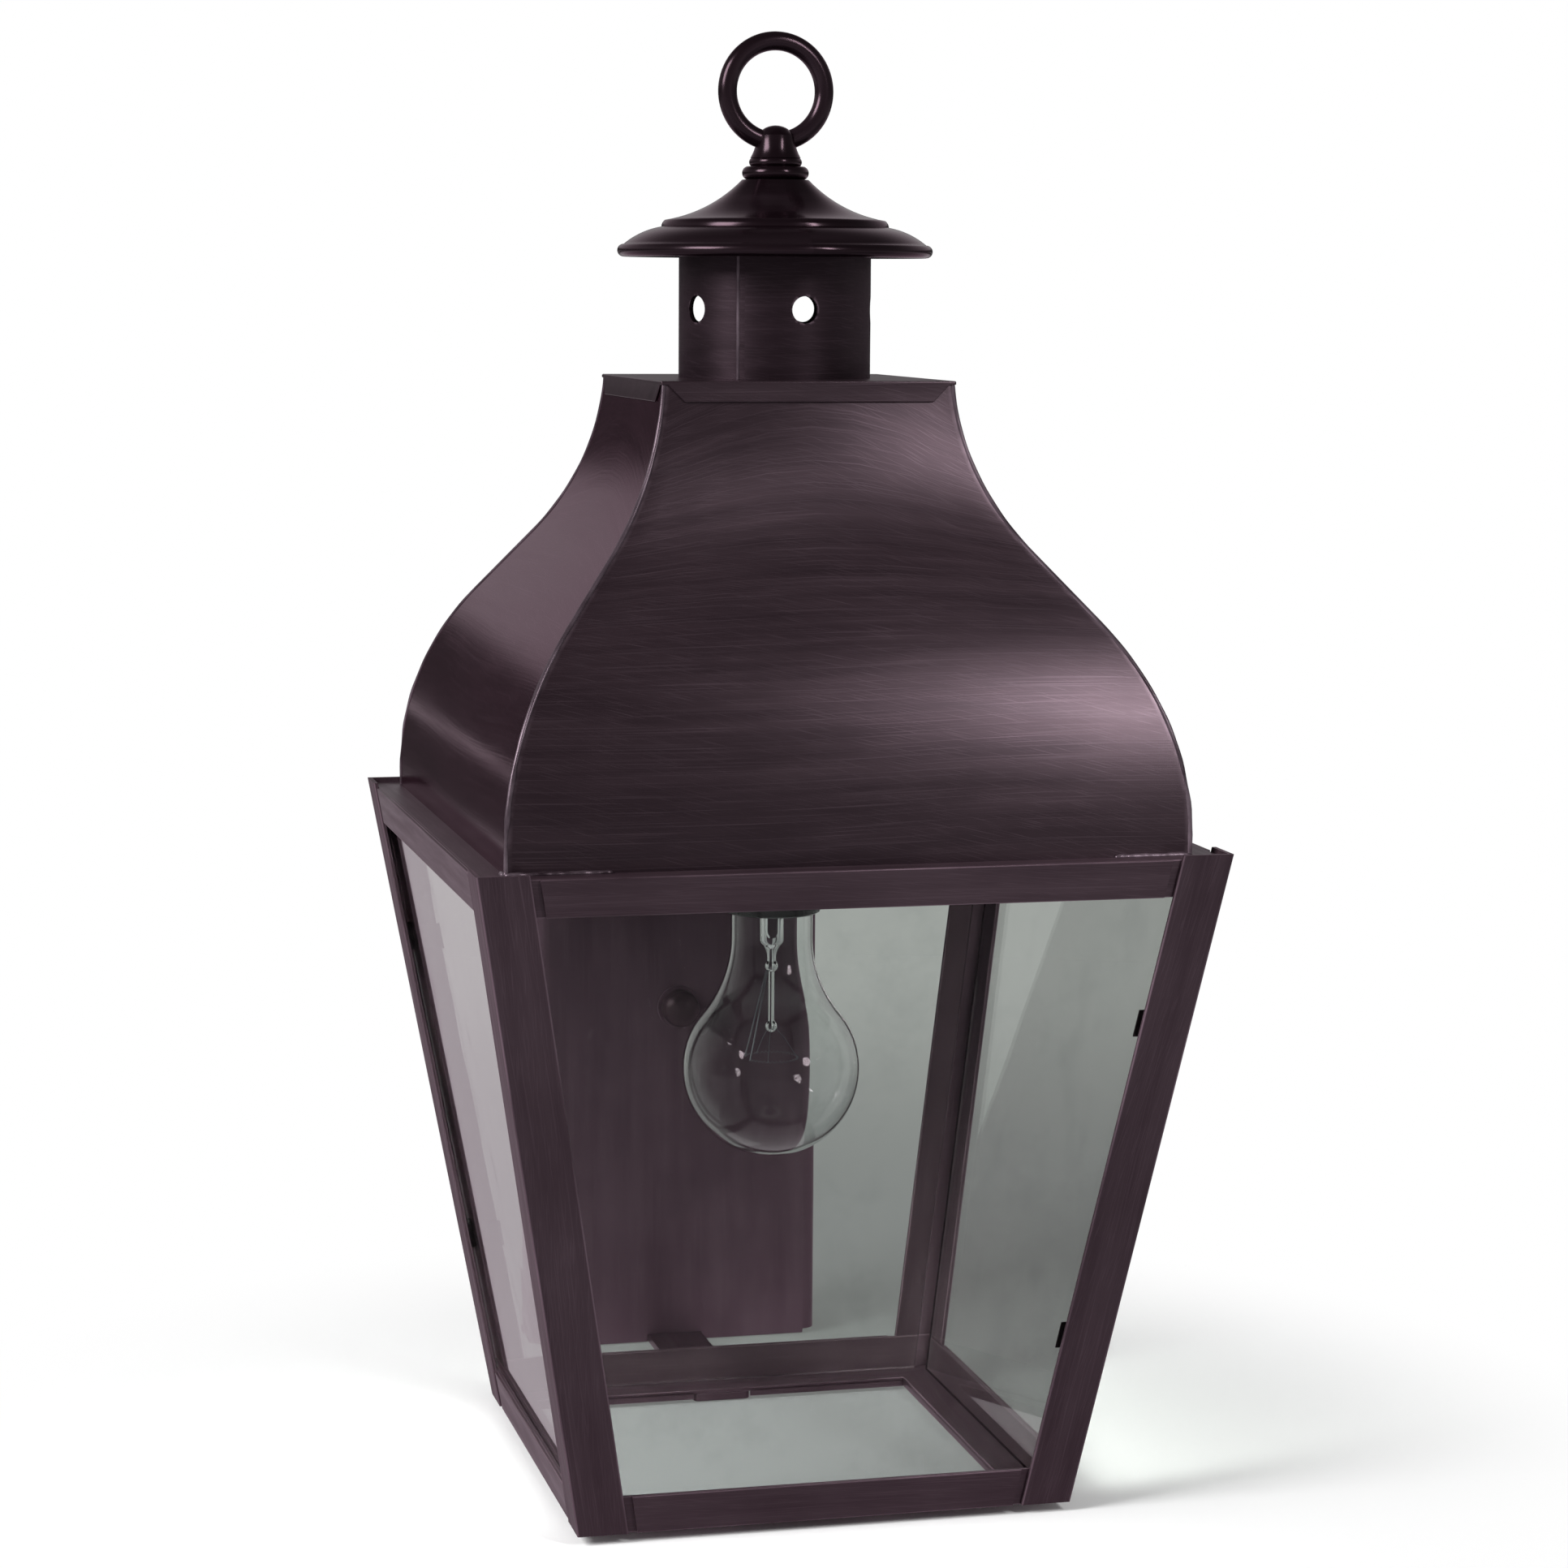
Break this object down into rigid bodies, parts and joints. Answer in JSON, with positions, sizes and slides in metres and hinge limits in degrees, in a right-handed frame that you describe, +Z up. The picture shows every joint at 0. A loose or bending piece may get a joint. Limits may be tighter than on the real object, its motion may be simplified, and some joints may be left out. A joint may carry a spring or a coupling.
{
  "type": "outdoor wall lantern",
  "caption": "Tapered glazed wall lantern with an ogee roof, a vented chimney and a ring finial, held off a wall plate by an arm and a strap, open at the bottom for changing the bulb.",
  "frame": {"origin": "On the wall plane, at the middle of the crossbar's back face and on the axis of the cap nut.", "axes": "+Z up, +Y into the wall, -Y towards the viewer in front of the lantern, +X to that viewer's right."},
  "size_m": [0.24, 0.288, 0.4802],
  "materials": {
    "bronzed_brass": "satin, dark bronzed and hand brushed",
    "clear_glass": "clear",
    "bulb_glass": "clear",
    "aluminium_cap": "satin",
    "lamp_brass": "satin",
    "porcelain": "dark glazed",
    "tungsten_wire": "dull",
    "zinc_plated_steel": "zinc plated",
    "green_screw_paint": "gloss",
    "black_plastic": "matte"
  },
  "bodies": {
    "lantern": {"arm_nuts": "bronzed_brass", "backplate": "bronzed_brass", "bottom_rail_back": "bronzed_brass", "bottom_rail_front": "bronzed_brass", "bottom_rail_left": "bronzed_brass", "bottom_rail_right": "bronzed_brass", "bridge_bar": "zinc_plated_steel", "centre_nipple": "zinc_plated_steel", "centre_rod": "zinc_plated_steel", "chimney_cap": "bronzed_brass", "chimney_tube": "bronzed_brass", "corner_post_back_left": "bronzed_brass", "corner_post_back_right": "bronzed_brass", "corner_post_front_left": "bronzed_brass", "corner_post_front_right": "bronzed_brass", "crossbar": "zinc_plated_steel", "glass_back": "clear_glass", "glass_clips": "bronzed_brass", "glass_front": "clear_glass", "glass_left": "clear_glass", "glass_right": "clear_glass", "ground_screw": "green_screw_paint", "lampholder_body": "porcelain", "lampholder_cap": "lamp_brass", "lampholder_contact": "lamp_brass", "lampholder_shell": "lamp_brass", "lower_strap": "bronzed_brass", "nipple_washer": "bronzed_brass", "rod_nuts": "zinc_plated_steel", "roof_panel_back": "bronzed_brass", "roof_panel_front": "bronzed_brass", "roof_panel_left": "bronzed_brass", "roof_panel_right": "bronzed_brass", "roof_top_plate": "bronzed_brass", "top_rail_back": "bronzed_brass", "top_rail_front": "bronzed_brass", "top_rail_left": "bronzed_brass", "top_rail_right": "bronzed_brass", "upper_arm": "bronzed_brass", "wire_bushings": "black_plastic"},
    "finial": {"finial_knob": "bronzed_brass", "finial_ring": "bronzed_brass"},
    "bulb": {"bulb_glass": "bulb_glass", "bulb_cap": "aluminium_cap", "bulb_stem": "bulb_glass", "bulb_filament": "tungsten_wire"},
    "wall_nut": {"cap_nut": "bronzed_brass"}
  },
  "joints": [
    {"name": "finial_turn", "type": "hinge", "parent": "lantern", "child": "finial", "pos_m": [0, -0.168, 0.3045], "axis": [0, 0, 1], "continuous": true},
    {"name": "bulb_turn", "type": "hinge", "parent": "lantern", "child": "bulb", "pos_m": [0, -0.168, 0.074], "axis": [0, 0, 1], "continuous": true},
    {"name": "cap_nut_turn", "type": "hinge", "parent": "lantern", "child": "wall_nut", "pos_m": [0, -0.025, 0], "axis": [0, -1, 0], "continuous": true}
  ]
}
